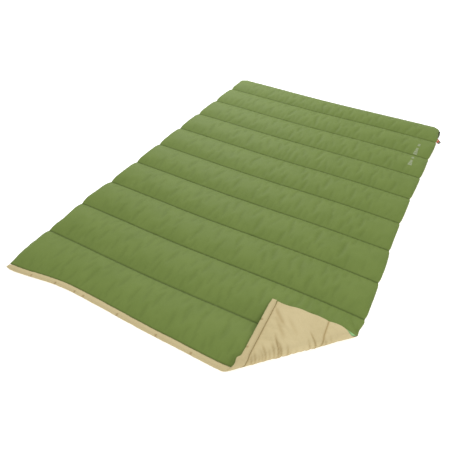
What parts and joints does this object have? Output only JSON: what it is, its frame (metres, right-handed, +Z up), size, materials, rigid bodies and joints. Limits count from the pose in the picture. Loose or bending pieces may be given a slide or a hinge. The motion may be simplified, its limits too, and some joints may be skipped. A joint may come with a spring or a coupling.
{
  "type": "camp quilt",
  "caption": "Flat padded quilt sewn in crosswise channels, with a bound foot hem and one corner turned back over itself.",
  "frame": {"origin": "under the middle of the quilt, on the face it rests on", "axes": "+X across the quilt to its right side, +Y along it from the foot hem to the head, +Z up out of the shell side"},
  "size_m": [1.4384, 2.1996, 0.056],
  "materials": {
    "shell_cloth": "plain woven polyester, soft satin",
    "lining_cloth": "brushed polyester, matt",
    "filling": "hollow-fibre wadding",
    "hem_cloth": "brushed polyester, matt",
    "quilting_thread": "spun thread",
    "hem_thread": "spun thread",
    "webbing": "woven tape",
    "label": "woven label",
    "print": "flat ink print"
  },
  "bodies": {
    "foot_section": {"shell_foot": "shell_cloth", "filling_foot": "filling", "lining_foot": "lining_cloth", "hem_binding_foot": "hem_cloth", "hem_wadding_foot": "filling", "quilting_thread_09_foot": "quilting_thread", "hem_thread_foot": "hem_thread", "quilting_thread_08": "quilting_thread"},
    "channel_08": {"shell_08": "shell_cloth", "filling_08": "filling", "lining_08": "lining_cloth", "quilting_thread_07": "quilting_thread"},
    "channel_07": {"shell_07": "shell_cloth", "filling_07": "filling", "lining_07": "lining_cloth", "quilting_thread_06": "quilting_thread"},
    "channel_06": {"shell_06": "shell_cloth", "filling_06": "filling", "lining_06": "lining_cloth", "quilting_thread_05": "quilting_thread"},
    "channel_05": {"shell_05": "shell_cloth", "filling_05": "filling", "lining_05": "lining_cloth", "quilting_thread_04": "quilting_thread"},
    "channel_04": {"shell_04": "shell_cloth", "filling_04": "filling", "lining_04": "lining_cloth", "quilting_thread_03": "quilting_thread"},
    "channel_03": {"shell_03": "shell_cloth", "filling_03": "filling", "lining_03": "lining_cloth", "quilting_thread_02": "quilting_thread", "printed_mark_03": "print"},
    "channel_02": {"shell_02": "shell_cloth", "filling_02": "filling", "lining_02": "lining_cloth", "quilting_thread_01": "quilting_thread", "printed_mark_02": "print"},
    "channel_01": {"shell_01": "shell_cloth", "filling_01": "filling", "lining_01": "lining_cloth"},
    "turned_corner": {"shell_corner": "shell_cloth", "filling_corner": "filling", "lining_corner": "lining_cloth", "hem_binding_corner": "hem_cloth", "hem_wadding_corner": "filling", "quilting_thread_09_corner": "quilting_thread", "hem_thread_corner": "hem_thread"},
    "hang_loop": {"hang_loop": "webbing"},
    "side_label": {"side_label": "label"}
  },
  "joints": [
    {"name": "seam_08_fold", "type": "hinge", "parent": "foot_section", "child": "channel_08", "pos_m": [0, -0.652, 0.0034], "axis": [1, 0, 0], "range_deg": [0, 30]},
    {"name": "seam_07_fold", "type": "hinge", "parent": "channel_08", "child": "channel_07", "pos_m": [0, -0.428, 0.0034], "axis": [1, 0, 0], "range_deg": [0, 34]},
    {"name": "seam_06_fold", "type": "hinge", "parent": "channel_07", "child": "channel_06", "pos_m": [0, -0.204, 0.0034], "axis": [1, 0, 0], "range_deg": [0, 40]},
    {"name": "seam_05_fold", "type": "hinge", "parent": "channel_06", "child": "channel_05", "pos_m": [0, 0.02, 0.0034], "axis": [1, 0, 0], "range_deg": [0, 46]},
    {"name": "seam_04_fold", "type": "hinge", "parent": "channel_05", "child": "channel_04", "pos_m": [0, 0.244, 0.0034], "axis": [1, 0, 0], "range_deg": [0, 54]},
    {"name": "seam_03_fold", "type": "hinge", "parent": "channel_04", "child": "channel_03", "pos_m": [0, 0.468, 0.0034], "axis": [1, 0, 0], "range_deg": [0, 64]},
    {"name": "seam_02_fold", "type": "hinge", "parent": "channel_03", "child": "channel_02", "pos_m": [0, 0.692, 0.0034], "axis": [1, 0, 0], "range_deg": [0, 76]},
    {"name": "seam_01_fold", "type": "hinge", "parent": "channel_02", "child": "channel_01", "pos_m": [0, 0.916, 0.0034], "axis": [1, 0, 0], "range_deg": [0, 90]},
    {"name": "corner_fold", "type": "hinge", "parent": "foot_section", "child": "turned_corner", "pos_m": [0.356, -1.1, 0.028], "axis": [0.7071, 0.7071, 0], "range_deg": [0, 180]},
    {"name": "hang_loop_swing", "type": "hinge", "parent": "channel_01", "child": "hang_loop", "pos_m": [0.7079, 0.974, 0.0037], "axis": [0, 0, 1], "range_deg": [-90, 0]},
    {"name": "side_label_lift", "type": "hinge", "parent": "channel_01", "child": "side_label", "pos_m": [0.701, 0.944, 0.0085], "axis": [0, -1, 0], "range_deg": [0, 115]}
  ]
}
